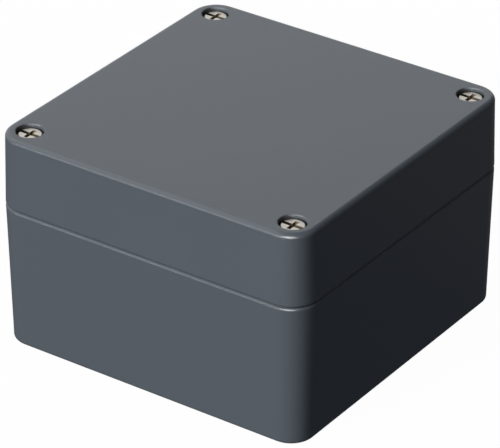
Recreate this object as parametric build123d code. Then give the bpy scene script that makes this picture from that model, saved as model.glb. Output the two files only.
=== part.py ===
from build123d import *
import os
from math import ceil, radians, sqrt, tan

# Square die-cast aluminium enclosure: a drafted base and a deep drafted lid that meet on a
# tongue-and-groove seal, held together by four captive screws in corner pillars outside the
# seal. The same pillars carry the holes that fix the base to a wall.
# Millimetres, +Z up. The origin is the centre of the underside.

# Outer form of the two castings, which are both widest where they meet
SIDE = 125.0
BASE_HEIGHT = 53.0
LID_HEIGHT = 27.0
CORNER_RADIUS = 10.0
OUTER_DRAFT = 1.3
LID_TOP_FILLET = 1.8
LID_RIM_FILLET = 0.8
BASE_RIM_FILLET = 1.2
BASE_FOOT_FILLET = 1.4

# Walls and the cores that hollow the castings
WALL = 4.4
FLOOR = 4.0
LID_ROOF = 4.0
CORE_DRAFT = 1.0
CORE_FILLET = 1.5
CORE_CORNER_RADIUS = 2.0
PILLAR_NOSE_RADIUS = 7.0
PILLAR_LAND = 1.6

# Seal: a tongue on the base enters a groove in the lid and meets the gasket
TONGUE_WIDTH = 1.8
TONGUE_HEIGHT = 1.6
GROOVE_CLEARANCE = 0.7
GROOVE_DEPTH = 4.0
LIP_WIDTH = 1.5
GASKET_SIDE_GAP = 0.1

# Gap round a thread in its hole and round a shank in its washer
RUNNING_CLEARANCE = 0.05

# Lid screws: slotted and cross-recessed cheese heads on a waisted shank
LID_THREAD_DIAMETER = 5.0
LID_THREAD_PITCH = 0.8
UNSCREWING_TURNS = 14
SCREW_HEAD_DIAMETER = 8.5
SCREW_HEAD_HEIGHT = 3.3
SCREW_HEAD_CHAMFER = 0.4
SCREW_WAIST_DIAMETER = 4.0
SCREW_TIP_CHAMFER = 0.6
SLOT_WIDTH = 1.4
SLOT_DEPTH = 1.5
CROSS_LENGTH = 5.4
CROSS_WIDTH = 1.4
CROSS_DEPTH = 2.4
CROSS_FLOOR_LENGTH = 1.8

# Holes for the lid screws, as near to the lid's corners as the flat round each hole allows
HEAD_SINK = 1.2
HEAD_CLEARANCE = 0.55
COUNTERBORE_CHAMFER = 0.3
COUNTERBORE_FLAT = 1.4
INSET_STEP = 0.05
SHANK_HOLE_DIAMETER = 5.5
TAPPED_DEPTH_SPARE = 3.0
SCREW_TIP_CLEARANCE = 0.3

# Retaining washers, which keep the undone screws in the lid
RETAINER_DIAMETER = 9.2
RETAINER_THICKNESS = 1.5
RETAINER_FLOAT = 0.3
RETAINER_SIDE_CLEARANCE = 0.2

# Wall fixing holes, reached with the lid off
FIXING_HOLE_DIAMETER = 5.5
FIXING_HEAD_BORE = 10.0
FIXING_SEAT_THICKNESS = 6.0
FIXING_BORE_WEB = 2.45
FIXING_POCKET_COVER = 11.0

# Tapped pads on the floor: four for a mounting plate and two for a rail
PAD_DIAMETER = 8.0
PAD_HEIGHT = 5.0
PAD_ROOT_FLARE = 1.0
PAD_CORE_DIAMETER = 3.3
PAD_CORE_WEB = 2.0
PLATE_PAD_SIDE_GAP = 4.15
PLATE_PAD_END_GAP = 4.1
RAIL_PAD_GAP = 5.1

# Earth terminals, one in each casting
EARTH_BOSS_DIAMETER = 14.0
EARTH_BOSS_GAP = 6.1
EARTH_THREAD_DIAMETER = 5.0
EARTH_THREAD_LENGTH = 6.4
EARTH_TAPPED_SPARE = 0.4
EARTH_TAPPED_WEB = 2.2
CLAMP_SIDE = 9.5
CLAMP_THICKNESS = 1.0
CLAMP_LIP_HEIGHT = 1.4
CLAMP_BEND_RADIUS = 1.3
SPRING_WASHER_DIAMETER = 9.2
SPRING_WASHER_THICKNESS = 1.2
SPRING_WASHER_GAP = 0.8
SPRING_WASHER_SLANT = 25.0

# Round marks that the ejector pins leave on the inner faces
EJECTOR_DIAMETER = 6.0
EJECTOR_DEPTH = 0.2
EJECTOR_PITCH_X = 62.0
EJECTOR_PITCH_Y = 44.0

# How far a cutting tool runs past the face that it opens
OVERRUN = 1.0

# Heights that several pieces share
PARTING_Z = BASE_HEIGHT
TOP_Z = BASE_HEIGHT + LID_HEIGHT
HEAD_SEAT_Z = TOP_Z - HEAD_SINK - SCREW_HEAD_HEIGHT
UNSCREWING_TRAVEL = UNSCREWING_TURNS * LID_THREAD_PITCH
SCREW_TIP_Z = PARTING_Z - UNSCREWING_TRAVEL + SCREW_TIP_CLEARANCE
RETAINER_Z = PARTING_Z + RETAINER_FLOAT
RETAINER_RECESS_TOP = RETAINER_Z + RETAINER_THICKNESS + UNSCREWING_TRAVEL + RETAINER_FLOAT
PAD_CREST_Z = FLOOR + PAD_HEIGHT
EARTH_METAL = EARTH_THREAD_LENGTH + EARTH_TAPPED_SPARE + EARTH_TAPPED_WEB
CLAMP_HEIGHT = CLAMP_LIP_HEIGHT + CLAMP_THICKNESS
EARTH_STACK = CLAMP_HEIGHT + SPRING_WASHER_THICKNESS

# Bores in the corner pillars
COUNTERBORE_RADIUS = SCREW_HEAD_DIAMETER / 2 + HEAD_CLEARANCE
TAPPED_RADIUS = LID_THREAD_DIAMETER / 2 + RUNNING_CLEARANCE
RECESS_RADIUS = RETAINER_DIAMETER / 2 + RETAINER_SIDE_CLEARANCE
FIXING_BORE_RADIUS = FIXING_HEAD_BORE / 2

# Inset of the lid screws from the castings' widest edges, rounded up to a whole step
TOP_EDGE = LID_HEIGHT * tan(radians(OUTER_DRAFT)) + LID_TOP_FILLET
HOLE_FLAT_RADIUS = COUNTERBORE_RADIUS + COUNTERBORE_CHAMFER + COUNTERBORE_FLAT
INSET_FROM_SIDES = TOP_EDGE + HOLE_FLAT_RADIUS
INSET_FROM_CORNER = CORNER_RADIUS - (CORNER_RADIUS - TOP_EDGE - HOLE_FLAT_RADIUS) / sqrt(2)
SCREW_INSET = INSET_STEP * ceil(max(INSET_FROM_SIDES, INSET_FROM_CORNER) / INSET_STEP)

# Plan positions: each stands for the four places (+-x, +-y)
SCREW_X = SIDE / 2 - SCREW_INSET
SCREW_Y = SCREW_X
FIXING_X = SCREW_X
FIXING_Y = SCREW_Y - RECESS_RADIUS - FIXING_BORE_WEB - FIXING_BORE_RADIUS

# The cavity's outline leaves room for the seal and a land of metal beside the pillars' bores
SEAL_REACH = TONGUE_WIDTH + GROOVE_CLEARANCE
LIP_REACH = GROOVE_CLEARANCE + LIP_WIDTH
BORE_LAND = PILLAR_LAND + SEAL_REACH
CAVITY_HALF = SIDE / 2 - WALL
PILLAR_INNER_X = SCREW_X - max(RECESS_RADIUS, FIXING_BORE_RADIUS) - BORE_LAND
PILLAR_INNER_Y = FIXING_Y - FIXING_BORE_RADIUS - BORE_LAND

PLATE_PAD_X = PILLAR_INNER_X - PAD_ROOT_FLARE - PAD_DIAMETER / 2 - PLATE_PAD_SIDE_GAP
PLATE_PAD_Y = CAVITY_HALF - PAD_ROOT_FLARE - PAD_DIAMETER / 2 - PLATE_PAD_END_GAP
RAIL_PAD_X = CAVITY_HALF - PAD_ROOT_FLARE - PAD_DIAMETER / 2 - RAIL_PAD_GAP
EARTH_Y = CAVITY_HALF - PAD_ROOT_FLARE - EARTH_BOSS_DIAMETER / 2 - EARTH_BOSS_GAP

# Where the crests of the earth bosses are; the lid's hangs from its roof
EARTH_CRESTS = {
    "base": Pos(0, EARTH_Y, EARTH_METAL),
    "lid": Pos(0, EARTH_Y, TOP_Z - EARTH_METAL) * Rot(180, 0, 0),
}

CORNERS = {
    "front_left": (-1, -1),
    "front_right": (1, -1),
    "back_right": (1, 1),
    "back_left": (-1, 1),
}

FROM_BELOW = (Align.CENTER, Align.CENTER, Align.MIN)
FROM_ABOVE = (Align.CENTER, Align.CENTER, Align.MAX)


def nearly(a, b):
    """True where two sizes are the same but for rounding."""
    return abs(a - b) < 1e-6


def bore(radius, bottom, top):
    """A round cutting tool, or a plain disc, between two heights."""
    return Pos(0, 0, bottom) * Cylinder(radius, top - bottom, align=FROM_BELOW)


def at_corners(tool, x, y):
    """A tool repeated at the four places (+-x, +-y)."""
    return [Pos(sx * x, sy * y, 0) * tool for sx, sy in CORNERS.values()]


def cavity_outline(grow):
    """The cavity's cross-shaped outline at the parting plane, moved outwards by grow all round."""
    half = CAVITY_HALF + grow
    inner_x = PILLAR_INNER_X + grow
    inner_y = PILLAR_INNER_Y + grow
    plan = Rectangle(2 * half, 2 * inner_y) + Rectangle(2 * inner_x, 2 * half)
    noses = [v for v in plan.vertices() if nearly(abs(v.X), inner_x) and nearly(abs(v.Y), inner_y)]
    plan = fillet(noses, PILLAR_NOSE_RADIUS - grow)
    corners = [v for v in plan.vertices() if nearly(max(abs(v.X), abs(v.Y)), half)]
    return fillet(corners, CORE_CORNER_RADIUS + LIP_REACH + grow)


def drawn_up(plan, height, draft):
    """A plan on the parting plane drawn upwards, narrowing with the draft."""
    return Pos(0, 0, PARTING_Z) * extrude(plan, height, taper=draft)


def drawn_down(plan, depth, draft):
    """A plan on the parting plane drawn downwards, narrowing with the draft."""
    return Pos(0, 0, PARTING_Z) * mirror(extrude(plan, depth, taper=draft), Plane.XY)


def seal_band(inner_grow, outer_grow, height):
    """A band along the cavity's outline, standing on the parting plane."""
    band = cavity_outline(outer_grow) - cavity_outline(inner_grow)
    return Pos(0, 0, PARTING_Z) * extrude(band, height)


def boss(diameter, height, foot_depth):
    """A round boss on z=0 with a flared root, sunk foot_depth into the wall that carries it."""
    radius = diameter / 2
    flare = radius + PAD_ROOT_FLARE
    foot = [(0, -foot_depth), (flare, -foot_depth), (flare, 0)]
    side = [(radius, PAD_ROOT_FLARE), (radius, height), (0, height)]
    return revolve(make_face(Plane.XZ * Polyline(*foot, *side, close=True)), Axis.Z)


def ejector_marks(low, high):
    """The round marks of the ejector pins, cut between two heights."""
    return at_corners(bore(EJECTOR_DIAMETER / 2, low, high), EJECTOR_PITCH_X / 2, EJECTOR_PITCH_Y / 2)


def earth_tapping():
    """The tapped hole under an earth terminal, down from its boss's crest at z=0."""
    radius = EARTH_THREAD_DIAMETER / 2 + RUNNING_CLEARANCE
    return bore(radius, EARTH_TAPPED_WEB - EARTH_METAL, OVERRUN)


def make_base():
    """The base casting: floor, drafted walls, corner pillars, sealing tongue, pads and boss."""
    body = drawn_down(RectangleRounded(SIDE, SIDE, CORNER_RADIUS), BASE_HEIGHT, OUTER_DRAFT)
    body = fillet(body.edges().group_by(Axis.Z)[0], BASE_FOOT_FILLET)
    body = fillet(body.edges().group_by(Axis.Z)[-1], BASE_RIM_FILLET)

    core = drawn_down(cavity_outline(0), BASE_HEIGHT - FLOOR, CORE_DRAFT)
    core = fillet(core.edges().group_by(Axis.Z)[0], CORE_FILLET)
    body = body - core + seal_band(0, TONGUE_WIDTH, TONGUE_HEIGHT)

    tapped = bore(TAPPED_RADIUS, SCREW_TIP_Z - TAPPED_DEPTH_SPARE, PARTING_Z + OVERRUN)
    fixing = bore(FIXING_HOLE_DIAMETER / 2, -OVERRUN, PARTING_Z)
    head_bore = bore(FIXING_BORE_RADIUS, FIXING_SEAT_THICKNESS, PARTING_Z + OVERRUN)
    body -= at_corners(tapped, SCREW_X, SCREW_Y)
    body -= at_corners(fixing, FIXING_X, FIXING_Y)
    body -= at_corners(head_bore, FIXING_X, FIXING_Y)

    pad = Pos(0, 0, FLOOR) * boss(PAD_DIAMETER, PAD_HEIGHT, FLOOR / 2)
    pad_core = bore(PAD_CORE_DIAMETER / 2, PAD_CORE_WEB, PAD_CREST_Z + OVERRUN)
    rail_places = [Pos(-RAIL_PAD_X, 0, 0), Pos(RAIL_PAD_X, 0, 0)]
    body += at_corners(pad, PLATE_PAD_X, PLATE_PAD_Y) + [place * pad for place in rail_places]
    body -= at_corners(pad_core, PLATE_PAD_X, PLATE_PAD_Y) + [place * pad_core for place in rail_places]

    body += Pos(0, EARTH_Y, FLOOR) * boss(EARTH_BOSS_DIAMETER, EARTH_METAL - FLOOR, FLOOR / 2)
    body -= EARTH_CRESTS["base"] * earth_tapping()
    body -= ejector_marks(FLOOR - EJECTOR_DEPTH, FLOOR + OVERRUN)
    return body


def make_lid():
    """The lid casting: roof, drafted skirt, sealing groove and lip, screw pillars and boss."""
    body = drawn_up(RectangleRounded(SIDE, SIDE, CORNER_RADIUS), LID_HEIGHT, OUTER_DRAFT)
    body = fillet(body.edges().group_by(Axis.Z)[-1], LID_TOP_FILLET)
    body = fillet(body.edges().group_by(Axis.Z)[0], LID_RIM_FILLET)

    core = drawn_up(cavity_outline(-LIP_REACH), LID_HEIGHT - LID_ROOF, CORE_DRAFT)
    core = fillet(core.edges().group_by(Axis.Z)[-1], CORE_FILLET)
    body = body - core - seal_band(-GROOVE_CLEARANCE, SEAL_REACH, GROOVE_DEPTH)

    counterbore = bore(COUNTERBORE_RADIUS, HEAD_SEAT_Z, TOP_Z + OVERRUN)
    shank_hole = bore(SHANK_HOLE_DIAMETER / 2, PARTING_Z, TOP_Z)
    recess = bore(RECESS_RADIUS, PARTING_Z - OVERRUN, RETAINER_RECESS_TOP)
    pocket = bore(FIXING_BORE_RADIUS, PARTING_Z - OVERRUN, TOP_Z - FIXING_POCKET_COVER)
    for tool in (counterbore, shank_hole, recess):
        body -= at_corners(tool, SCREW_X, SCREW_Y)
    body -= at_corners(pocket, FIXING_X, FIXING_Y)
    rounds = body.edges().filter_by(GeomType.CIRCLE)
    mouths = [e for e in rounds if nearly(e.radius, COUNTERBORE_RADIUS) and nearly(e.center().Z, TOP_Z)]
    body = chamfer(mouths, COUNTERBORE_CHAMFER)

    hanging = Pos(0, EARTH_Y, TOP_Z - LID_ROOF) * Rot(180, 0, 0)
    body += hanging * boss(EARTH_BOSS_DIAMETER, EARTH_METAL - LID_ROOF, LID_ROOF / 2)
    body -= EARTH_CRESTS["lid"] * earth_tapping()
    body -= ejector_marks(TOP_Z - LID_ROOF - OVERRUN, TOP_Z - LID_ROOF + EJECTOR_DEPTH)
    return body


def make_gasket():
    """The moulded gasket, lying in the groove from its roof down to the tongue's crest."""
    inner_grow = GASKET_SIDE_GAP - GROOVE_CLEARANCE
    outer_grow = SEAL_REACH - GASKET_SIDE_GAP
    return Pos(0, 0, TONGUE_HEIGHT) * seal_band(inner_grow, outer_grow, GROOVE_DEPTH - TONGUE_HEIGHT)


def make_screw_head(seat_z):
    """A cheese head on its seat, with a slot right across it and a cross recess in the middle."""
    radius = SCREW_HEAD_DIAMETER / 2
    top_z = seat_z + SCREW_HEAD_HEIGHT
    head = bore(radius, seat_z, top_z)
    head = chamfer(head.edges().group_by(Axis.Z)[-1], SCREW_HEAD_CHAMFER)
    slot = Box(SCREW_HEAD_DIAMETER + OVERRUN, SLOT_WIDTH, SLOT_DEPTH, align=FROM_ABOVE)
    wing_side = Polyline(
        (-CROSS_LENGTH / 2, 0),
        (CROSS_LENGTH / 2, 0),
        (CROSS_FLOOR_LENGTH / 2, -CROSS_DEPTH),
        (-CROSS_FLOOR_LENGTH / 2, -CROSS_DEPTH),
        close=True,
    )
    wing = extrude(make_face(Plane.XZ * wing_side), CROSS_WIDTH / 2, both=True)
    return head - Pos(0, 0, top_z) * (slot + wing + Rot(0, 0, 90) * wing)


def make_shank(steps):
    """A turned shank from (radius, height) points, given from its chamfered tip upwards."""
    tip_radius, tip_z = steps[0]
    tip = [(0, tip_z), (tip_radius - SCREW_TIP_CHAMFER, tip_z), (tip_radius, tip_z + SCREW_TIP_CHAMFER)]
    profile = tip + steps[1:] + [(0, steps[-1][1])]
    return revolve(make_face(Plane.XZ * Polyline(*profile, close=True)), Axis.Z)


def make_lid_screw():
    """A captive lid screw on the Z axis, waisted above the thread that enters the base."""
    thread = LID_THREAD_DIAMETER / 2
    waist = SCREW_WAIST_DIAMETER / 2
    steps = [(thread, SCREW_TIP_Z), (thread, RETAINER_Z), (waist, RETAINER_Z), (waist, HEAD_SEAT_Z)]
    return make_shank(steps) + make_screw_head(HEAD_SEAT_Z)


def make_retaining_washer():
    """The nylon washer that rides on the waist of a lid screw, above its thread."""
    ring = bore(RETAINER_DIAMETER / 2, RETAINER_Z, RETAINER_Z + RETAINER_THICKNESS)
    hole_radius = SCREW_WAIST_DIAMETER / 2 + RUNNING_CLEARANCE
    return ring - bore(hole_radius, RETAINER_Z, RETAINER_Z + RETAINER_THICKNESS)


def make_earth_screw():
    """The earth screw, with a lid screw's head and a thread up to it; the boss's crest is z=0."""
    thread = EARTH_THREAD_DIAMETER / 2
    steps = [(thread, -EARTH_THREAD_LENGTH), (thread, EARTH_STACK)]
    return make_shank(steps) + make_screw_head(EARTH_STACK)


def make_earth_clamp():
    """A saddle washer whose two lips stand on the boss's crest and straddle a wire."""
    section = Rectangle(CLAMP_SIDE, CLAMP_HEIGHT, align=(Align.CENTER, Align.MIN))
    section = fillet(section.vertices().group_by(Axis.Y)[-1], CLAMP_BEND_RADIUS)
    section -= Rectangle(
        CLAMP_SIDE - 2 * CLAMP_THICKNESS, CLAMP_LIP_HEIGHT, align=(Align.CENTER, Align.MIN)
    )
    saddle = extrude(Plane.XZ * section, CLAMP_SIDE / 2, both=True)
    return saddle - bore(EARTH_THREAD_DIAMETER / 2 + RUNNING_CLEARANCE, 0, CLAMP_HEIGHT)


def make_spring_washer():
    """The split washer under the earth screw's head, pressed flat, with its slanted gap."""
    radius = SPRING_WASHER_DIAMETER / 2
    ring = bore(radius, CLAMP_HEIGHT, EARTH_STACK)
    ring -= bore(EARTH_THREAD_DIAMETER / 2 + RUNNING_CLEARANCE, CLAMP_HEIGHT, EARTH_STACK)
    blade = Rot(SPRING_WASHER_SLANT, 0, 0) * Box(2 * radius, SPRING_WASHER_GAP, 4 * SPRING_WASHER_THICKNESS)
    return ring - Pos(radius, 0, (CLAMP_HEIGHT + EARTH_STACK) / 2) * blade


def make_parts():
    """Every piece of the enclosure in its place, by name."""
    parts = {"base": make_base(), "lid": make_lid(), "lid_gasket": make_gasket()}
    lid_screw = make_lid_screw()
    retaining_washer = make_retaining_washer()
    for corner, (sx, sy) in CORNERS.items():
        place = Pos(sx * SCREW_X, sy * SCREW_Y, 0)
        parts[f"lid_screw_{corner}"] = place * lid_screw
        parts[f"retaining_washer_{corner}"] = place * retaining_washer
    earth_screw = make_earth_screw()
    spring_washer = make_spring_washer()
    clamp = make_earth_clamp()
    for casting, crest in EARTH_CRESTS.items():
        parts[f"{casting}_earth_screw"] = crest * earth_screw
        parts[f"{casting}_earth_spring_washer"] = crest * spring_washer
        parts[f"{casting}_earth_clamp"] = crest * clamp
    return parts


os.makedirs("parts", exist_ok=True)
for name, shape in make_parts().items():
    export_step(shape, f"parts/{name}.step")
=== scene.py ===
"""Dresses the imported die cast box: paint, bare metal, threaded screws, seal and a small studio."""

import math

import bmesh
import bpy
from bpy.props import FloatProperty, FloatVectorProperty, IntProperty, PointerProperty
from mathutils import Matrix, Vector


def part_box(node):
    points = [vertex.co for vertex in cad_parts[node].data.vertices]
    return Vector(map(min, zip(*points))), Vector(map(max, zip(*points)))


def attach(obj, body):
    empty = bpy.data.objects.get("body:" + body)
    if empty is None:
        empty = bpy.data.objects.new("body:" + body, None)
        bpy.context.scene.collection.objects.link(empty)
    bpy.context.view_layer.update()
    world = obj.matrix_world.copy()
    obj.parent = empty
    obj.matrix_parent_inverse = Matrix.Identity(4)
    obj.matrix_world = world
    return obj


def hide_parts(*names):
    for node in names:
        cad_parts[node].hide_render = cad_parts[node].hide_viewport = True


bl_info = {
    "name": "Die Cast Box",
    "version": (1, 0, 0),
    "blender": (4, 5, 0),
    "location": "3D View > Sidebar > Cast Box",
    "description": "Paint, bare metal, threads and a studio for a die cast box with sunken screws",
    "category": "Object",
}

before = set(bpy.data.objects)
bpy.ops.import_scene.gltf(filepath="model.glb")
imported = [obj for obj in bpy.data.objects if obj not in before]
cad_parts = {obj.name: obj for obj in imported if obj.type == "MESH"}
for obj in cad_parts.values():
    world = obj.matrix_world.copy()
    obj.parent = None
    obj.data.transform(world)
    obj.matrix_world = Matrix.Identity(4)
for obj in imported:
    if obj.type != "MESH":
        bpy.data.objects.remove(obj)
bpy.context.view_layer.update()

MM = 0.001
CORNERS = ("front_left", "front_right", "back_right", "back_left")
WELD = 1e-7
SHARP_ANGLE = math.radians(32)
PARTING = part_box("lid")[0].z
HALF_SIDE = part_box("lid")[1].x
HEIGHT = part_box("lid")[1].z
SCREW_LOW, SCREW_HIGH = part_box("lid_screw_front_right")
SCREW_OUT = (SCREW_LOW.x + SCREW_HIGH.x) / 2
SCREW_TOP = SCREW_HIGH.z
SCREW_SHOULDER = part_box("retaining_washer_front_right")[0].z

# Places in the castings' finish, in millimetres. A pair is where a change starts and where it ends.
TOP_SKIN = 1.0
FOOT_SKIN = 0.4
PAINT_EDGE = 0.25
PAINT_WANDER = 0.5
PARTING_SHADE_REACH = (0.5, 1.0)
RECESS_SHADE_DEPTH = (1.0, 1.5)
SHADED_LEFT_SIDE = (2.2, 4.6)
SHADED_LEFT_LIFT = 1.1
RIM_SKIN = 0.03
RIM_HIGHLIGHT_START = (-1.4, 1.0)
RIM_HIGHLIGHT_END = (2.8, 4.6)
GRAIN_HEIGHT = 0.020
FLOW_HEIGHT = 0.030

# Shares, from 0 to 1, in which a layer covers what lies under it, and the shade of the pits.
RIM_HIGHLIGHT_SHARE = 0.6
RECESS_SHADE_SHARE = 0.92
PARTING_SHADE_SHARE = 0.10
PIT_SHARE = 0.35
PIT_SHADE = 0.62

# What the painted shade in the screw recesses adds to the paint's roughness, and how far the paint's
# own roughness sways.
RECESS_SHADE_MATT = 0.35
MATT_SWAY = 0.02

# Grime with painted shade and painted light in the screw heads: its places in millimetres, and how
# dark or light it is painted, as parts of its colour.
GRIME_MARGIN = 0.02
LEFT_SHADE_REACH = (-2.6, -0.2)
FRONT_LIGHT_REACH = (0.3, 2.2)
PAINTED_LEFT_SHADE = 0.04
BACK_ARM_PAINTED_LIGHT = 1.4
FRONT_ARM_PAINTED_LIGHT = 4.0

# The threads: shares of the pitch, turns of the wound grid, and two short lengths in metres.
CREST_FLAT = 0.125
ROOT_FLAT = 0.25
SPARE_WINDS = 2
CLOSING_TURN = 0.75
PHASE_NUDGE = 1e-5
THREAD_WELD = 0.002 * MM
THREAD_OVERLAP = 0.1 * MM

# The stage: lengths in metres, and colours with their alpha.
WHITE = (1, 1, 1, 1)
FLOOR_REACH = 4
FLOOR_DROP = 0.02 * MM
FLOOR_COLOUR = (0.9, 0.9, 0.9, 1)
CARD_BENDS = ((-0.6, 0.0), (0.35, 0.0), (-0.33, 0.9))
CARD_ENDS = (-1.5, 3.0)
CARD_CHANGE = (0.02, 0.17)
CARD_NEAR_TINT = (0.82, 0.90, 1.05, 1)
CARD_FAR_TINT = (1.45, 1.42, 1.5, 1)
FAR_LAMP_DISTANCE = 1.0
SENSOR_WIDTH_MM = 36
CLIP_START = 0.05
CLIP_END = 50


class Wire:
    """The output of a node, which can be used in sums like a number."""

    def __init__(self, maker, socket):
        self.maker = maker
        self.socket = socket

    def __add__(self, other):
        return self.maker.math("ADD", self, other)

    def __radd__(self, other):
        return self.maker.math("ADD", other, self)

    def __sub__(self, other):
        return self.maker.math("SUBTRACT", self, other)

    def __rsub__(self, other):
        return self.maker.math("SUBTRACT", other, self)

    def __mul__(self, other):
        return self.maker.math("MULTIPLY", self, other)

    def __rmul__(self, other):
        return self.maker.math("MULTIPLY", other, self)

    def __truediv__(self, other):
        return self.maker.math("DIVIDE", self, other)

    def __gt__(self, other):
        return self.maker.math("GREATER_THAN", self, other)

    def __lt__(self, other):
        return self.maker.math("LESS_THAN", self, other)

    def __abs__(self):
        return self.maker.math("ABSOLUTE", self)


class NodeMaker:
    """Adds nodes to a shader or geometry tree."""

    def __init__(self, tree):
        self.tree = tree

    def find(self, sockets, key):
        """A socket by its place, identifier or name."""
        if isinstance(key, int):
            return sockets[key]
        for socket in sockets:
            if socket.identifier == key:
                return socket
        return sockets[key]

    def node(self, kind, settings=None, inputs=None, out=None):
        """Adds a node, sets it up and wires it. Returns the node, or the outputs asked for."""
        made = self.tree.nodes.new(kind)
        for name, value in (settings or {}).items():
            setattr(made, name, value)
        for key, value in (inputs or {}).items():
            socket = self.find(made.inputs, key)
            if isinstance(value, Wire):
                self.tree.links.new(value.socket, socket)
            else:
                socket.default_value = value
        if out is None:
            return made
        if isinstance(out, tuple):
            return tuple(Wire(self, self.find(made.outputs, key)) for key in out)
        return Wire(self, self.find(made.outputs, out))

    def math(self, operation, *values):
        return self.node("ShaderNodeMath", {"operation": operation}, dict(enumerate(values)), 0)

    def least(self, a, b):
        return self.math("MINIMUM", a, b)

    def most(self, a, b):
        return self.math("MAXIMUM", a, b)

    def length(self, a, b):
        return self.math("SQRT", a * a + b * b)

    def between(self, value, low, high):
        """0 below low, 1 above high, and smooth between them."""
        settings = {"interpolation_type": "SMOOTHSTEP"}
        inputs = {"Value": value, "From Min": low, "From Max": high}
        return self.node("ShaderNodeMapRange", settings, inputs, "Result")

    def ramp(self, value, low, high):
        """Runs in a straight line from low, at value 0, to high, at value 1."""
        inputs = {"Value": value, "To Min": low, "To Max": high}
        return self.node("ShaderNodeMapRange", {}, inputs, "Result")


class Finish(NodeMaker):
    """One material, with Object coordinates in millimetres to hand."""

    def __init__(self, name, specular=0.5):
        self.material = bpy.data.materials.new(name)
        self.material.use_nodes = True
        super().__init__(self.material.node_tree)
        self.tree.nodes.clear()
        place = self.node("ShaderNodeTexCoord", out="Object")
        settings = {"operation": "SCALE"}
        self.place = self.node("ShaderNodeVectorMath", settings, {0: place, "Scale": 1 / MM}, 0)
        parts = self.node("ShaderNodeSeparateXYZ", {}, {0: self.place}, ("X", "Y", "Z"))
        self.x, self.y, self.z = parts
        self.surface = self.node("ShaderNodeBsdfPrincipled", {}, {"Specular IOR Level": specular})
        output = self.node("ShaderNodeOutputMaterial")
        self.tree.links.new(self.surface.outputs["BSDF"], output.inputs["Surface"])

    def feed(self, name, value):
        """Sets or wires one socket of the surface."""
        socket = self.surface.inputs[name]
        if isinstance(value, Wire):
            self.tree.links.new(value.socket, socket)
        else:
            socket.default_value = value

    def noise(self, grain, detail=2.0, roughness=0.5, stretch=(1, 1, 1), shift=(0, 0, 0)):
        """Noise from 0 to 1 whose features are about grain millimetres across."""
        inputs = {"Vector": self.place, "Location": shift, "Scale": stretch}
        place = self.node("ShaderNodeMapping", {}, inputs, 0)
        inputs = {"Vector": place, "Scale": 1 / grain, "Detail": detail, "Roughness": roughness}
        return self.node("ShaderNodeTexNoise", {}, inputs, 0)

    def mix(self, factor, first, second):
        """A colour from first to second, each a Wire or three numbers."""
        whole = [c if isinstance(c, Wire) else (*c, 1) for c in (first, second)]
        inputs = {"Factor_Float": factor, "A_Color": whole[0], "B_Color": whole[1]}
        return self.node("ShaderNodeMix", {"data_type": "RGBA"}, inputs, "Result_Color")

    def shades(self, factor, colour, dark, light):
        """A colour that runs from dark times the given one to light times it."""
        return self.mix(factor, Vector(colour) * dark, Vector(colour) * light)

    def bump(self, height, distance):
        """A normal from a height of 0 to 1 that stands distance metres tall."""
        inputs = {"Height": height, "Distance": distance, "Strength": 1.0}
        return self.node("ShaderNodeBump", {}, inputs, "Normal")

    def from_screw_axis(self, place):
        """How far a place along x or y lies from the nearer screw axis, with its sign."""
        return place - self.math("SIGN", place) * (SCREW_OUT / MM)

    def lathe_rings(self, pitch):
        """Fine turned rings round the nearest screw axis, from 0 to 1."""
        radius = self.length(self.from_screw_axis(self.x), self.from_screw_axis(self.y))
        return self.math("SINE", radius * (2 * math.pi / pitch)) * 0.5 + 0.5


class CastingSettings(bpy.types.PropertyGroup):
    paint_colour: FloatVectorProperty(
        name="Paint",
        description="Colour of the paint on the outside",
        subtype="COLOR",
        default=(0.100, 0.118, 0.137),
        min=0,
        max=1,
    )
    paint_roughness: FloatProperty(
        name="Paint roughness",
        description="How matt the paint is",
        subtype="FACTOR",
        default=0.30,
        min=0,
        max=1,
    )
    peel_grain: FloatProperty(
        name="Peel grain",
        description="Distance across one dimple of the paint's fine texture",
        default=0.9 * MM,
        unit="LENGTH",
    )
    peel_height: FloatProperty(
        name="Peel height",
        description="Depth of the paint's fine texture",
        default=0.004 * MM,
        unit="LENGTH",
    )
    overspray: FloatProperty(
        name="Overspray",
        description="How far the paint reaches in over the rims",
        default=1.2 * MM,
        unit="LENGTH",
    )
    draft: FloatProperty(
        name="Draft",
        description="Slope of the outer walls",
        default=math.radians(1.3),
        unit="ROTATION",
    )
    corner_radius: FloatProperty(
        name="Corner radius",
        description="Radius of the upright corners",
        default=10 * MM,
        unit="LENGTH",
    )
    # Painted shade: this colour darkens the paint deep in the screw recesses, up their left side and
    # along the parting.
    recess_shade_colour: FloatVectorProperty(
        name="Recess",
        description="Colour of the shaded paint round the sunken screw heads",
        subtype="COLOR",
        default=(0.012, 0.010, 0.009),
        min=0,
        max=1,
    )
    recess_radius: FloatProperty(
        name="Recess radius",
        description="Reach of the screw recesses, rims included",
        default=5.5 * MM,
        unit="LENGTH",
    )
    recess_depth: FloatProperty(
        name="Recess depth",
        description="Depth of the painted part of the screw recesses",
        default=4.6 * MM,
        unit="LENGTH",
    )
    # This colour is a painted highlight on the back of the rims of the screw recesses.
    rim_highlight_colour: FloatVectorProperty(
        name="Rim",
        description="Colour of the paint where it is rubbed at the rims of the screw recesses",
        subtype="COLOR",
        default=(0.31, 0.34, 0.36),
        min=0,
        max=1,
    )
    rim_depth: FloatProperty(
        name="Rim depth",
        description="Depth of the glossy rims of the screw recesses",
        default=0.4 * MM,
        unit="LENGTH",
    )
    bare_colour: FloatVectorProperty(
        name="Bare casting",
        description="Colour of the unpainted aluminium inside",
        subtype="COLOR",
        default=(0.56, 0.57, 0.58),
        min=0,
        max=1,
    )


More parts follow.
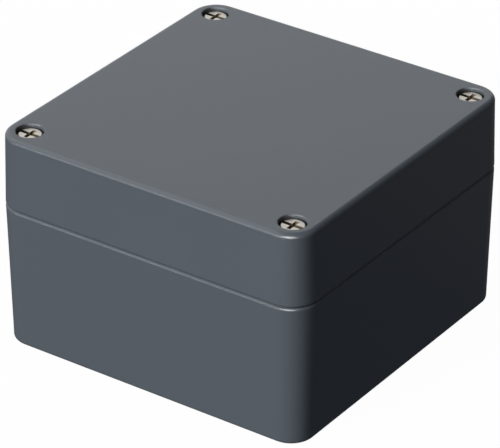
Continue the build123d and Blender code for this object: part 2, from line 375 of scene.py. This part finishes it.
class MetalSettings(bpy.types.PropertyGroup):
    steel_colour: FloatVectorProperty(
        name="Stainless steel",
        description="Colour of the lid screws and spring washers",
        subtype="COLOR",
        default=(0.55, 0.53, 0.48),
        min=0,
        max=1,
    )
    brass_colour: FloatVectorProperty(
        name="Brass",
        description="Colour of the earth screws and clamps",
        subtype="COLOR",
        default=(0.70, 0.56, 0.28),
        min=0,
        max=1,
    )
    # Grime and painted shade in the screw heads, painted darker on the left of the slot and lighter
    # in the cross.
    grime_and_shade_colour: FloatVectorProperty(
        name="Grime",
        description="Colour of the grime in the screws' slots and cross recesses",
        subtype="COLOR",
        default=(0.130, 0.097, 0.062),
        min=0,
        max=1,
    )
    slot_width: FloatProperty(
        name="Slot width",
        description="Width of the slot and of the cross in a screw's head",
        default=1.4 * MM,
        unit="LENGTH",
    )
    cross_length: FloatProperty(
        name="Cross length",
        description="Length of the cross in a screw's head",
        default=5.4 * MM,
        unit="LENGTH",
    )
    recess_depth: FloatProperty(
        name="Recess depth",
        description="Depth of the cross in a screw's head",
        default=2.5 * MM,
        unit="LENGTH",
    )
    turning_pitch: FloatProperty(
        name="Turning pitch",
        description="Distance between the fine turned rings on a screw head",
        default=0.16 * MM,
        unit="LENGTH",
    )


class SealSettings(bpy.types.PropertyGroup):
    rubber_colour: FloatVectorProperty(
        name="Rubber",
        description="Colour of the lid's seal",
        subtype="COLOR",
        default=(0.020, 0.020, 0.021),
        min=0,
        max=1,
    )
    nylon_colour: FloatVectorProperty(
        name="Nylon",
        description="Colour of the washers that hold the lid screws",
        subtype="COLOR",
        default=(0.70, 0.68, 0.60),
        min=0,
        max=1,
    )


class ThreadSettings(bpy.types.PropertyGroup):
    pitch: FloatProperty(
        name="Pitch", description="Rise of the thread in one turn", default=0.8 * MM, unit="LENGTH"
    )
    major_radius: FloatProperty(
        name="Major radius",
        description="Radius over the thread's crests",
        default=2.5 * MM,
        unit="LENGTH",
    )
    depth: FloatProperty(
        name="Depth",
        description="Height of the thread from root to crest",
        default=0.49 * MM,
        unit="LENGTH",
    )
    neck_radius: FloatProperty(
        name="Neck radius",
        description="Radius where the thread runs out under the head or shoulder",
        default=2.0 * MM,
        unit="LENGTH",
    )
    tip_radius: FloatProperty(
        name="Tip radius", description="Radius of the flat end", default=1.9 * MM, unit="LENGTH"
    )
    collar: FloatProperty(
        name="Collar",
        description="Plain length left under the head or shoulder",
        default=0.3 * MM,
        unit="LENGTH",
    )
    sides: IntProperty(name="Sides", description="Faces round one turn", default=48, min=12)
    rows: IntProperty(name="Rows", description="Rows of faces in one pitch", default=8, min=4)


class StageSettings(bpy.types.PropertyGroup):
    target: FloatVectorProperty(
        name="Target",
        description="Point that the camera looks at",
        subtype="TRANSLATION",
        unit="LENGTH",
        default=(-0.012645, 0.016678, 0.02463),
    )
    azimuth: FloatProperty(
        name="Azimuth",
        description="Turn of the camera round the box, from straight in front",
        default=math.radians(35.10),
        unit="ROTATION",
    )
    elevation: FloatProperty(
        name="Elevation",
        description="Height of the camera above the horizon",
        default=math.radians(29.87),
        unit="ROTATION",
    )
    distance: FloatProperty(
        name="Distance", description="Camera to target", default=1.3, unit="LENGTH"
    )
    lens: FloatProperty(
        name="Lens",
        description="Focal length of the camera in millimetres",
        default=268.2,
        unit="CAMERA",
    )
    key_direction: FloatVectorProperty(
        name="Key direction",
        description="Where the key light stands, seen from the box",
        subtype="DIRECTION",
        default=(-0.18, -0.80, 0.50),
    )
    key_strength: FloatProperty(
        name="Key strength", description="Strength of the key light", default=3.09, min=0
    )
    key_angle: FloatProperty(
        name="Key angle",
        description="How wide the key light is, which softens its shadows",
        default=math.radians(30),
        unit="ROTATION",
    )
    strip_direction: FloatVectorProperty(
        name="Strip direction",
        description="Where the strip light stands, seen from the box",
        subtype="DIRECTION",
        default=(0.34, -0.90, 0.33),
    )
    strip_distance: FloatProperty(
        name="Strip distance", description="Box to strip light", default=1.5, unit="LENGTH"
    )
    strip_width: FloatProperty(
        name="Strip width", description="Width of the strip light", default=1.1, unit="LENGTH"
    )
    strip_height: FloatProperty(
        name="Strip height", description="Height of the strip light", default=0.6, unit="LENGTH"
    )
    strip_power: FloatProperty(
        name="Strip power", description="Power of the strip light", default=90, min=0, unit="POWER"
    )
    edge_direction: FloatVectorProperty(
        name="Edge direction",
        description="Where the dimmer strip light stands, seen from the box",
        subtype="DIRECTION",
        default=(-0.457, -0.885, 0.10),
    )
    edge_power: FloatProperty(
        name="Edge power",
        description="Power of the dimmer strip light",
        default=6.8,
        min=0,
        unit="POWER",
    )
    edge_height: FloatProperty(
        name="Edge height",
        description="Height of the dimmer strip light",
        default=0.24,
        unit="LENGTH",
    )
    sheen_colour: FloatVectorProperty(
        name="Sheen colour",
        description="Colour of the broad overhead light and the dimmer strip light",
        subtype="COLOR",
        default=(1.0, 0.95, 0.88),
        min=0,
        max=1,
    )
    sheen_direction: FloatVectorProperty(
        name="Sheen direction",
        description="Where the broad overhead light stands, seen from the box",
        subtype="DIRECTION",
        default=(-0.44, -0.10, 0.88),
    )
    sheen_strength: FloatProperty(
        name="Sheen strength",
        description="Strength of the broad overhead light",
        default=1.3,
        min=0,
    )
    sheen_angle: FloatProperty(
        name="Sheen angle",
        description="How wide the broad overhead light is",
        default=math.radians(70),
        unit="ROTATION",
    )
    back_direction: FloatVectorProperty(
        name="Back direction",
        description="Where the back light stands, seen from the box",
        subtype="DIRECTION",
        default=(-0.62, 0.76, 0.10),
    )
    back_strength: FloatProperty(
        name="Back strength", description="Strength of the back light", default=2.2, min=0
    )
    back_angle: FloatProperty(
        name="Back angle",
        description="How wide the back light is",
        default=math.radians(15),
        unit="ROTATION",
    )
    fill: FloatProperty(
        name="Fill", description="Brightness of the surroundings as a light", default=0.08, min=0
    )
    floor_grey: FloatProperty(
        name="Floor grey",
        description="How much light the floor throws back up",
        subtype="FACTOR",
        default=0.22,
        min=0,
        max=1,
    )
    floor_white: FloatProperty(
        name="Floor white",
        description="Share of plain white in the floor, against its lit and shaded colour",
        subtype="FACTOR",
        default=0.98,
        min=0,
        max=1,
    )


def outer_paint(finish, settings):
    """1 outside and a little way in over the rims, up to a ragged edge, and 0 inside the box."""
    radius = settings.corner_radius / MM
    from_parting = abs(finish.z - PARTING / MM)
    corner = (HALF_SIDE / MM - radius) - from_parting * math.tan(settings.draft)
    out_x = abs(finish.x) - corner
    out_y = abs(finish.y) - corner
    beyond = finish.length(finish.most(out_x, 0), finish.most(out_y, 0))
    depth = beyond + finish.least(finish.most(out_x, out_y), 0) - radius
    ragged = (finish.noise(grain=1.6, detail=3) - 0.5) * PAINT_WANDER
    reach = -settings.overspray / MM
    return finish.between(depth + ragged, reach - PAINT_EDGE, reach + PAINT_EDGE)


def casting_finish(settings):
    """Paint outside and over the rims, bare cast aluminium inside, for both castings."""
    finish = Finish("painted_casting", specular=0.35)
    top = finish.z > (HEIGHT / MM - TOP_SKIN)
    foot = finish.z < FOOT_SKIN
    sunk = HEIGHT / MM - finish.z
    screw_x = abs(finish.x) - SCREW_OUT / MM
    screw_y = abs(finish.y) - SCREW_OUT / MM
    recess = finish.length(screw_x, screw_y) < settings.recess_radius / MM
    recess = recess * (sunk < settings.recess_depth / MM)
    outside = outer_paint(finish, settings)
    painted = finish.most(finish.most(outside, top), finish.most(foot, recess))

    # Painted shade: dark paint lies deep in the screw recesses and higher up on their left, and a
    # trace of painted shade lies along the parting.
    leftward = finish.from_screw_axis(finish.x) * -1
    shaded_left = finish.between(leftward, *SHADED_LEFT_SIDE)
    # The rim mask marks the back of each recess rim, which gets a painted highlight and a clear
    # coat.
    rim = recess * (sunk > RIM_SKIN) * (sunk < settings.rim_depth / MM)
    rim = rim * finish.between(leftward, *RIM_HIGHLIGHT_START) * (1 - finish.between(leftward, *RIM_HIGHLIGHT_END))
    recess_shade = finish.between(sunk + shaded_left * SHADED_LEFT_LIFT, *RECESS_SHADE_DEPTH) * recess
    # Painted shade along the parting line.
    parting_shade = 1 - finish.between(abs(finish.z - PARTING / MM), *PARTING_SHADE_REACH)
    painted_shade = finish.most(recess_shade * RECESS_SHADE_SHARE, parting_shade * PARTING_SHADE_SHARE)

    cloud = finish.noise(grain=34, detail=3)
    speck = finish.noise(grain=0.25, detail=1, shift=(7, 3, 5))
    tone = cloud * 0.6 + speck * 0.4
    paint = finish.shades(tone, settings.paint_colour, dark=0.955, light=1.045)
    # Painted highlight on the back of the recess rims.
    paint = finish.mix(rim * RIM_HIGHLIGHT_SHARE, paint, settings.rim_highlight_colour)
    paint = finish.mix(painted_shade, paint, settings.recess_shade_colour)

    flow = finish.noise(grain=9, detail=5, roughness=0.6, stretch=(1, 1, 0.28))
    grain = finish.noise(grain=0.5, detail=4, roughness=0.65, shift=(2, 9, 4))
    streaks = finish.between(flow, 0.3, 0.7)
    bare = finish.shades(streaks, settings.bare_colour, dark=0.80, light=1.08)
    pits = finish.between(grain, 0.55, 0.8) * PIT_SHARE
    bare = finish.mix(pits, bare, Vector(settings.bare_colour) * PIT_SHADE)

    finish.feed("Base Color", finish.mix(painted, bare, paint))
    finish.feed("Metallic", 1 - painted)
    satin = settings.paint_roughness
    paint_rough = finish.ramp(tone, satin - MATT_SWAY, satin + MATT_SWAY) + recess_shade * RECESS_SHADE_MATT
    bare_rough = finish.ramp(flow * 0.6 + grain * 0.4, 0.34, 0.62)
    finish.feed("Roughness", bare_rough + painted * (paint_rough - bare_rough))
    finish.feed("Coat Weight", rim)
    peel = finish.noise(grain=settings.peel_grain / MM, detail=1.5, roughness=0.4)
    peel_height = peel * (settings.peel_height / MM)
    bare_height = grain * GRAIN_HEIGHT + flow * FLOW_HEIGHT
    finish.feed("Normal", finish.bump(painted * peel_height + (1 - painted) * bare_height, MM))
    return finish.material


def slot_grime_and_shade(finish, settings):
    """Where grime and painted shade lie in a screw head's slot and cross, and their colour. Returns
    both.
    """
    across = finish.from_screw_axis(finish.x)
    along = finish.from_screw_axis(finish.y)
    half_slot = settings.slot_width / MM / 2 + GRIME_MARGIN
    half_cross = settings.cross_length / MM / 2 + GRIME_MARGIN
    in_slot = abs(along) < half_slot
    in_cross = (abs(across) < half_slot) * (abs(along) < half_cross)
    sunk = SCREW_TOP / MM - finish.z
    grime_and_shade = finish.most(in_slot, in_cross) * (sunk < settings.recess_depth / MM)
    colour = Vector(settings.grime_and_shade_colour)
    # Painted light: the cross is painted lighter than the slot, and its front arm lighter still.
    forward = finish.between(along * -1, *FRONT_LIGHT_REACH)
    arms = finish.shades(forward, colour, dark=BACK_ARM_PAINTED_LIGHT, light=FRONT_ARM_PAINTED_LIGHT)
    lit = finish.mix(in_cross, colour, arms)
    # Painted shade: the slot is painted darker towards its left end.
    return grime_and_shade, finish.mix(finish.between(across, *LEFT_SHADE_REACH), colour * PAINTED_LEFT_SHADE, lit)


def steel_finish(settings):
    """Turned stainless steel, with its rings round each lid screw's axis and grime with painted
    shade and light in its slots.
    """
    finish = Finish("turned_steel", specular=0.12)
    rings = finish.lathe_rings(settings.turning_pitch / MM)
    haze = finish.noise(grain=1.3, detail=4)
    stain = finish.noise(grain=2.6, detail=3, shift=(4, 1, 8))
    tone = finish.shades(haze, settings.steel_colour, dark=0.92, light=1.06)
    dull = finish.between(stain, 0.5, 0.8) * 0.25
    face = finish.mix(dull, tone, Vector(settings.steel_colour) * Vector((0.70, 0.66, 0.60)))
    grime_and_shade, grime_and_shade_colour = slot_grime_and_shade(finish, settings)
    finish.feed("Base Color", finish.mix(grime_and_shade, face, grime_and_shade_colour))
    finish.feed("Metallic", 1 - grime_and_shade)
    finish.feed("Roughness", finish.ramp(haze, 0.24, 0.36) + rings * 0.05 + grime_and_shade * 0.55)
    finish.feed("Normal", finish.bump(rings * 0.5 + haze * 0.5, 0.003 * MM))
    return finish.material


def washer_steel_finish(settings):
    """Rolled stainless steel for the spring washers."""
    finish = Finish("rolled_steel")
    haze = finish.noise(grain=0.8, detail=4)
    finish.feed("Base Color", finish.shades(haze, settings.steel_colour, dark=0.86, light=1.04))
    finish.feed("Metallic", 1.0)
    finish.feed("Roughness", finish.ramp(haze, 0.28, 0.48))
    finish.feed("Normal", finish.bump(haze, 0.004 * MM))
    return finish.material


def brass_finish(settings):
    """Bright brass with a little dulling."""
    finish = Finish("bright_brass")
    haze = finish.noise(grain=1.8, detail=4)
    scuff = finish.noise(grain=0.35, detail=3, stretch=(1, 6, 1))
    tone = finish.shades(haze, settings.brass_colour, dark=0.84, light=1.06)
    worn = finish.between(scuff, 0.6, 0.8) * 0.35
    dulled = Vector(settings.brass_colour) * Vector((0.78, 0.72, 0.62))
    finish.feed("Base Color", finish.mix(worn, tone, dulled))
    finish.feed("Metallic", 1.0)
    finish.feed("Roughness", finish.ramp(haze, 0.20, 0.36) + scuff * 0.10)
    finish.feed("Normal", finish.bump(scuff, 0.004 * MM))
    return finish.material


def rubber_finish(settings):
    """Black moulded rubber with a light bloom."""
    finish = Finish("seal_rubber", specular=0.4)
    bloom = finish.noise(grain=4, detail=4)
    skin = finish.noise(grain=0.3, detail=3)
    pale = finish.between(bloom, 0.35, 0.75)
    finish.feed("Base Color", finish.shades(pale, settings.rubber_colour, dark=1, light=1.9))
    finish.feed("Roughness", finish.ramp(bloom, 0.5, 0.7))
    finish.feed("Normal", finish.bump(skin, 0.012 * MM))
    return finish.material


def nylon_finish(settings):
    """Natural nylon, slightly cloudy."""
    finish = Finish("natural_nylon")
    cloud = finish.noise(grain=2.4, detail=3)
    skin = finish.noise(grain=0.4, detail=2)
    finish.feed("Base Color", finish.shades(cloud, settings.nylon_colour, dark=0.93, light=1.05))
    finish.feed("Roughness", finish.ramp(cloud, 0.38, 0.50))
    finish.feed("Normal", finish.bump(skin, 0.006 * MM))
    return finish.material


def dress(node_name, material):
    """Gives a CAD node its finished material."""
    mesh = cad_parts[node_name].data
    mesh.materials.clear()
    mesh.materials.append(material)


def thread_tree():
    """A screw thread that stands on its tip, from a grid wound up along a helix."""
    tree = bpy.data.node_groups.new("screw_thread", "GeometryNodeTree")
    names = ("Pitch", "Turns", "Winds", "Major Radius", "Depth", "Neck Radius", "Tip Radius")
    for name in names:
        tree.interface.new_socket(name, in_out="INPUT", socket_type="NodeSocketFloat")
    for name in ("Sides", "Rows"):
        tree.interface.new_socket(name, in_out="INPUT", socket_type="NodeSocketInt")
    tree.interface.new_socket("Material", in_out="INPUT", socket_type="NodeSocketMaterial")
    tree.interface.new_socket("Geometry", in_out="OUTPUT", socket_type="NodeSocketGeometry")

    maker = NodeMaker(tree)
    group = maker.node("NodeGroupInput")
    given = {socket.name: Wire(maker, socket) for socket in group.outputs if socket.name}
    inputs = {
        "Size X": 1.0,
        "Size Y": 1.0,
        "Vertices X": given["Sides"] + 1,
        "Vertices Y": given["Rows"] * given["Winds"] + 1,
    }
    grid = maker.node("GeometryNodeMeshGrid", {}, inputs, "Mesh")
    position = maker.node("GeometryNodeInputPosition", out=0)
    u, v = maker.node("ShaderNodeSeparateXYZ", {}, {0: position}, ("X", "Y"))
    around = u + 0.5
    wound = (v + 0.5) * given["Winds"]
    turn = wound - SPARE_WINDS + around
    height = maker.most(maker.least(turn, given["Turns"]), 0)
    phase = abs(maker.math("FRACT", wound + PHASE_NUDGE) * 2 - 1)
    slope = (phase - CREST_FLAT) / (1 - CREST_FLAT - ROOT_FLAT)
    flank = maker.most(maker.least(slope, 1), 0)
    radius = given["Major Radius"] - given["Depth"] * flank
    radius = maker.least(radius, given["Tip Radius"] + height * given["Pitch"])
    run_out = (given["Turns"] - height) * (given["Major Radius"] - given["Neck Radius"])
    radius = maker.least(radius, given["Neck Radius"] + run_out)
    radius = radius * (turn > -CLOSING_TURN) * (turn < given["Turns"] + CLOSING_TURN)
    angle = around * (2 * math.pi)
    inputs = {
        "X": radius * maker.math("COSINE", angle),
        "Y": radius * maker.math("SINE", angle),
        "Z": height * given["Pitch"],
    }
    place = maker.node("ShaderNodeCombineXYZ", {}, inputs, 0)
    wrapped = maker.node("GeometryNodeSetPosition", {}, {"Geometry": grid, "Position": place}, 0)
    inputs = {"Geometry": wrapped, "Distance": THREAD_WELD}
    closed = maker.node("GeometryNodeMergeByDistance", {}, inputs, 0)
    real = maker.node("GeometryNodeRealizeInstances", {}, {"Geometry": closed}, 0)
    inputs = {"Geometry": real, "Material": given["Material"]}
    finished = maker.node("GeometryNodeSetMaterial", {}, inputs, 0)
    maker.node("NodeGroupOutput", {}, {"Geometry": finished})
    return tree


def thread_mesh(settings, length, material):
    """A closed thread of that length, tip down at the origin."""
    tree = bpy.data.node_groups.get("screw_thread") or thread_tree()
    holder = bpy.data.objects.new("thread_maker", bpy.data.meshes.new("thread_maker"))
    bpy.context.scene.collection.objects.link(holder)
    modifier = holder.modifiers.new("thread", "NODES")
    modifier.node_group = tree
    turns = length / settings.pitch
    values = {
        "Pitch": settings.pitch,
        "Turns": turns,
        "Winds": float(math.ceil(turns) + 2 * SPARE_WINDS),
        "Major Radius": settings.major_radius,
        "Depth": settings.depth,
        "Neck Radius": settings.neck_radius,
        "Tip Radius": settings.tip_radius,
        "Sides": settings.sides,
        "Rows": settings.rows,
        "Material": material,
    }
    for socket in tree.interface.items_tree:
        if socket.in_out == "INPUT":
            modifier[socket.identifier] = values[socket.name]
    graph = bpy.context.evaluated_depsgraph_get()
    mesh = bpy.data.meshes.new_from_object(holder.evaluated_get(graph))
    holder.modifiers.clear()
    bpy.data.objects.remove(holder)
    return mesh


def threaded_screw(node_name, body, shoulder, tip_down, settings, material):
    """A CAD screw with its plain shank exchanged for a real thread below the shoulder."""
    low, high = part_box(node_name)
    tip = low.z if tip_down else high.z
    up = 1 if tip_down else -1
    cut = shoulder - up * settings.collar
    thread = thread_mesh(settings, abs(cut - tip) + THREAD_OVERLAP, material)
    place = Matrix.Translation(((low.x + high.x) / 2, (low.y + high.y) / 2, tip))
    if not tip_down:
        place = place @ Matrix.Rotation(math.pi, 4, "X")
    thread.transform(place)

    shape = bmesh.new()
    shape.from_mesh(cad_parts[node_name].data)
    bmesh.ops.remove_doubles(shape, verts=shape.verts, dist=WELD)
    whole = shape.verts[:] + shape.edges[:] + shape.faces[:]
    bmesh.ops.bisect_plane(
        shape, geom=whole, plane_co=(0, 0, cut), plane_no=(0, 0, up), clear_inner=True
    )
    rim = [edge for edge in shape.edges if edge.is_boundary]
    bmesh.ops.edgeloop_fill(shape, edges=rim)
    shape.from_mesh(thread)
    bmesh.ops.recalc_face_normals(shape, faces=shape.faces)
    bmesh.ops.triangulate(shape, faces=[face for face in shape.faces if len(face.verts) > 4])
    return finished_piece(shape, "threaded_" + node_name, body, node_name, material)


def finished_piece(shape, name, body, node_name, material):
    """Turns a bmesh into a piece that stands for a CAD node."""
    mesh = bpy.data.meshes.new(name)
    shape.to_mesh(mesh)
    shape.free()
    if "custom_normal" in mesh.attributes:
        mesh.attributes.remove(mesh.attributes["custom_normal"])
    mesh.materials.clear()
    mesh.materials.append(material)
    for polygon in mesh.polygons:
        polygon.material_index = 0
    mesh.shade_smooth()
    mesh.set_sharp_from_angle(angle=SHARP_ANGLE)
    piece = bpy.data.objects.new(name, mesh)
    bpy.context.scene.collection.objects.link(piece)
    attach(piece, body)
    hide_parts(node_name)
    return piece


class CASTBOX_OT_castings(bpy.types.Operator):
    """Paint the outside of the base and lid and leave their insides bare"""

    bl_idname = "castbox.castings"
    bl_label = "Finish the castings"

    def execute(self, context):
        material = casting_finish(context.scene.castbox_casting)
        for name in ("base", "lid"):
            dress(name, material)
        return {"FINISHED"}


class CASTBOX_OT_lid_screws(bpy.types.Operator):
    """Thread the four lid screws and give them turned steel heads"""

    bl_idname = "castbox.lid_screws"
    bl_label = "Make the lid screws"

    def execute(self, context):
        scene = context.scene
        material = steel_finish(scene.castbox_metal)
        for corner in CORNERS:
            name = "lid_screw_" + corner
            threaded_screw(
                name, name, SCREW_SHOULDER, True, scene.castbox_thread, material
            )
        return {"FINISHED"}


class CASTBOX_OT_earth_terminals(bpy.types.Operator):
    """Thread the two earth screws and finish their clamps and spring washers"""

    bl_idname = "castbox.earth_terminals"
    bl_label = "Make the earth terminals"

    def execute(self, context):
        scene = context.scene
        brass = brass_finish(scene.castbox_metal)
        steel = washer_steel_finish(scene.castbox_metal)
        for casting, tip_down in (("base", True), ("lid", False)):
            dress(casting + "_earth_clamp", brass)
            dress(casting + "_earth_spring_washer", steel)
            low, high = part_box(casting + "_earth_spring_washer")
            seat = high.z if tip_down else low.z
            name = casting + "_earth_screw"
            threaded_screw(
                name, casting, seat, tip_down, scene.castbox_thread, brass
            )
        return {"FINISHED"}


class CASTBOX_OT_seal(bpy.types.Operator):
    """Finish the rubber seal and the nylon washers that hold the lid screws"""

    bl_idname = "castbox.seal"
    bl_label = "Finish the seal and washers"

    def execute(self, context):
        settings = context.scene.castbox_seal
        dress("lid_gasket", rubber_finish(settings))
        nylon = nylon_finish(settings)
        for corner in CORNERS:
            dress("retaining_washer_" + corner, nylon)
        return {"FINISHED"}


def seen_directly(maker):
    """1 on a ray that shows the background: the camera's, a reflection's or one through glass."""
    names = ("Is Camera Ray", "Is Glossy Ray", "Is Transmission Ray")
    camera, glossy, clear = maker.node("ShaderNodeLightPath", out=names)
    return maker.most(maker.most(camera, glossy), clear)


def make_world(settings):
    """White where it is seen, and a low even fill as a light."""
    world = bpy.data.worlds.new("studio_air")
    world.use_nodes = True
    maker = NodeMaker(world.node_tree)
    maker.tree.nodes.clear()
    strength = maker.ramp(seen_directly(maker), settings.fill, 1.0)
    air = maker.node("ShaderNodeBackground", {}, {"Color": WHITE, "Strength": strength}, 0)
    maker.node("ShaderNodeOutputWorld", {}, {"Surface": air})
    world.cycles.sampling_method = "NONE"
    bpy.context.scene.world = world


def stage_piece(name, points, faces):
    """A mesh that belongs to the stage. Returns it and the node maker of its empty material."""
    mesh = bpy.data.meshes.new(name)
    mesh.from_pydata(points, [], faces)
    piece = bpy.data.objects.new(name, mesh)
    bpy.context.scene.collection.objects.link(piece)
    material = bpy.data.materials.new(name)
    material.use_nodes = True
    mesh.materials.append(material)
    maker = NodeMaker(material.node_tree)
    maker.tree.nodes.clear()
    return piece, maker


def make_floor(settings):
    """A pale floor that keeps a faint shadow of the box."""
    around = ((-1, -1), (1, -1), (1, 1), (-1, 1))
    points = [(x * FLOOR_REACH, y * FLOOR_REACH, -FLOOR_DROP) for x, y in around]
    _, maker = stage_piece("floor", points, [(0, 1, 2, 3)])
    grey = settings.floor_grey
    lit = maker.node("ShaderNodeBsdfDiffuse", {}, {"Color": (grey, grey, grey, 1)}, 0)
    shown = maker.node("ShaderNodeBsdfDiffuse", {}, {"Color": FLOOR_COLOUR}, 0)
    white = maker.node("ShaderNodeEmission", {}, {"Color": WHITE, "Strength": 1.0}, 0)
    inputs = {0: settings.floor_white, 1: shown, 2: white}
    seen = maker.node("ShaderNodeMixShader", {}, inputs, 0)
    surface = maker.node("ShaderNodeMixShader", {}, {0: seen_directly(maker), 1: lit, 2: seen}, 0)
    maker.node("ShaderNodeOutputMaterial", {}, {"Surface": surface})


def make_dark_card(settings):
    """A bent dark card that the camera doesn't see. It darkens the box's right side."""
    points = [(x, y, z) for y in CARD_ENDS for x, z in CARD_BENDS]
    card, maker = stage_piece("dark_card", points, [(0, 1, 4, 3), (1, 2, 5, 4)])
    place = maker.node("ShaderNodeTexCoord", out="Object")
    along = maker.node("ShaderNodeSeparateXYZ", {}, {0: place}, "Y")
    inputs = {
        "Factor_Float": maker.between(along, *CARD_CHANGE),
        "A_Color": CARD_NEAR_TINT,
        "B_Color": CARD_FAR_TINT,
    }
    tint = maker.node("ShaderNodeMix", {"data_type": "RGBA"}, inputs, "Result_Color")
    dim = maker.node("ShaderNodeEmission", {}, {"Color": tint, "Strength": settings.fill}, 0)
    maker.node("ShaderNodeOutputMaterial", {}, {"Surface": dim})
    card.visible_camera = False
    card.visible_shadow = False


def hang_lamp(light, direction, distance):
    """Hangs a lamp in that direction from the box and turns it towards the box. Returns it."""
    lamp = bpy.data.objects.new(light.name, light)
    bpy.context.scene.collection.objects.link(lamp)
    away = Vector(direction).normalized()
    lamp.rotation_euler = away.to_track_quat("Z", "Y").to_euler()
    lamp.location = away * distance
    return lamp


def far_lamp(name, direction, strength, angle):
    """A far, soft, round lamp. Returns it."""
    light = bpy.data.lights.new(name, "SUN")
    light.energy = strength
    light.angle = angle
    return hang_lamp(light, direction, FAR_LAMP_DISTANCE)


def strip_lamp(name, direction, power, height, settings):
    """A wide, low lamp. Returns it."""
    light = bpy.data.lights.new(name, "AREA")
    light.shape = "RECTANGLE"
    light.energy = power
    light.size = settings.strip_width
    light.size_y = height
    return hang_lamp(light, direction, settings.strip_distance)


def make_lamps(settings):
    """Two lamps that only light the box, and three that only show in its gloss."""
    key = far_lamp("key", settings.key_direction, settings.key_strength, settings.key_angle)
    sheen = far_lamp(
        "sheen", settings.sheen_direction, settings.sheen_strength, settings.sheen_angle
    )
    strip = strip_lamp(
        "strip", settings.strip_direction, settings.strip_power, settings.strip_height, settings
    )
    edge = strip_lamp(
        "edge", settings.edge_direction, settings.edge_power, settings.edge_height, settings
    )
    back = far_lamp("back", settings.back_direction, settings.back_strength, settings.back_angle)
    for lamp in (sheen, edge):
        lamp.data.color = settings.sheen_colour
    for lamp in (sheen, strip, edge):
        lamp.visible_diffuse = False
    for lamp in (key, back):
        lamp.visible_glossy = False


def make_camera(settings):
    """The photograph's point of view."""
    camera = bpy.data.cameras.new("camera")
    camera.lens = settings.lens
    camera.sensor_width = SENSOR_WIDTH_MM
    camera.clip_start = CLIP_START
    camera.clip_end = CLIP_END
    viewer = bpy.data.objects.new("camera", camera)
    bpy.context.scene.collection.objects.link(viewer)
    flat = math.cos(settings.elevation)
    back = Vector(
        (
            math.sin(settings.azimuth) * flat,
            -math.cos(settings.azimuth) * flat,
            math.sin(settings.elevation),
        )
    )
    viewer.location = Vector(settings.target) + back * settings.distance
    viewer.rotation_euler = back.to_track_quat("Z", "Y").to_euler()
    bpy.context.scene.camera = viewer


class CASTBOX_OT_stage(bpy.types.Operator):
    """Set up the floor, the light and the camera"""

    bl_idname = "castbox.stage"
    bl_label = "Set the stage"

    def execute(self, context):
        settings = context.scene.castbox_stage
        make_world(settings)
        make_floor(settings)
        make_dark_card(settings)
        make_lamps(settings)
        make_camera(settings)
        context.scene.view_settings.view_transform = "Standard"
        return {"FINISHED"}


OPERATORS = (
    CASTBOX_OT_castings,
    CASTBOX_OT_lid_screws,
    CASTBOX_OT_earth_terminals,
    CASTBOX_OT_seal,
    CASTBOX_OT_stage,
)
SETTINGS = {
    "castbox_casting": CastingSettings,
    "castbox_metal": MetalSettings,
    "castbox_seal": SealSettings,
    "castbox_thread": ThreadSettings,
    "castbox_stage": StageSettings,
}


class CASTBOX_PT_panel(bpy.types.Panel):
    """Steps that dress the box, with their sizes and colours"""

    bl_idname = "CASTBOX_PT_panel"
    bl_label = "Die Cast Box"
    bl_space_type = "VIEW_3D"
    bl_region_type = "UI"
    bl_category = "Cast Box"

    def draw(self, context):
        layout = self.layout
        for operator in OPERATORS:
            layout.operator(operator.bl_idname)
        for name, group in SETTINGS.items():
            box = layout.box()
            for field in group.__annotations__:
                box.prop(getattr(context.scene, name), field)


def register():
    for group in SETTINGS.values():
        bpy.utils.register_class(group)
    for operator in OPERATORS:
        bpy.utils.register_class(operator)
    bpy.utils.register_class(CASTBOX_PT_panel)
    for name, group in SETTINGS.items():
        setattr(bpy.types.Scene, name, PointerProperty(type=group))


def unregister():
    for name in SETTINGS:
        delattr(bpy.types.Scene, name)
    bpy.utils.unregister_class(CASTBOX_PT_panel)
    for operator in reversed(OPERATORS):
        bpy.utils.unregister_class(operator)
    for group in reversed(SETTINGS.values()):
        bpy.utils.unregister_class(group)


def main():
    """Registers the add-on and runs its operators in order."""
    register()
    bpy.ops.castbox.castings()
    bpy.ops.castbox.lid_screws()
    bpy.ops.castbox.earth_terminals()
    bpy.ops.castbox.seal()
    bpy.ops.castbox.stage()


if __name__ == "__main__":
    main()
